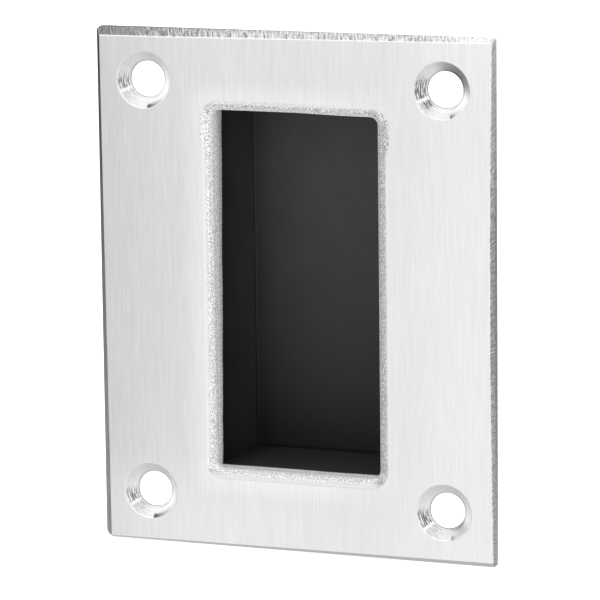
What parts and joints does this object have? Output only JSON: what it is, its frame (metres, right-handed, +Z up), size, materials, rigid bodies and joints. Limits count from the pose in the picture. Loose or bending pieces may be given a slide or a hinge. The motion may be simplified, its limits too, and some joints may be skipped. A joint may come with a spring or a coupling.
{
  "type": "recessed pull handle",
  "caption": "Flush finger pull for a door or drawer: a satin metal face plate with countersunk screw holes in its corners and a rounded mouth, and a black sheet-metal box recessed behind it.",
  "frame": {"origin": "centre of the four screw holes, in the plane of the face plate's back, which lies on the door", "axes": "+Z up along the plate's height, +X to the right as seen from in front, +Y into the door; the face looks along -Y"},
  "size_m": [0.1016, 0.0301, 0.127],
  "materials": {
    "satin_steel": "satin, with a fine upright grain on the face and a grainy, blasted lip round the mouth",
    "black_paint": "smooth semi-gloss black paint"
  },
  "bodies": {
    "root": {"face_plate": "satin_steel", "recess_box": "black_paint"}
  },
  "joints": []
}
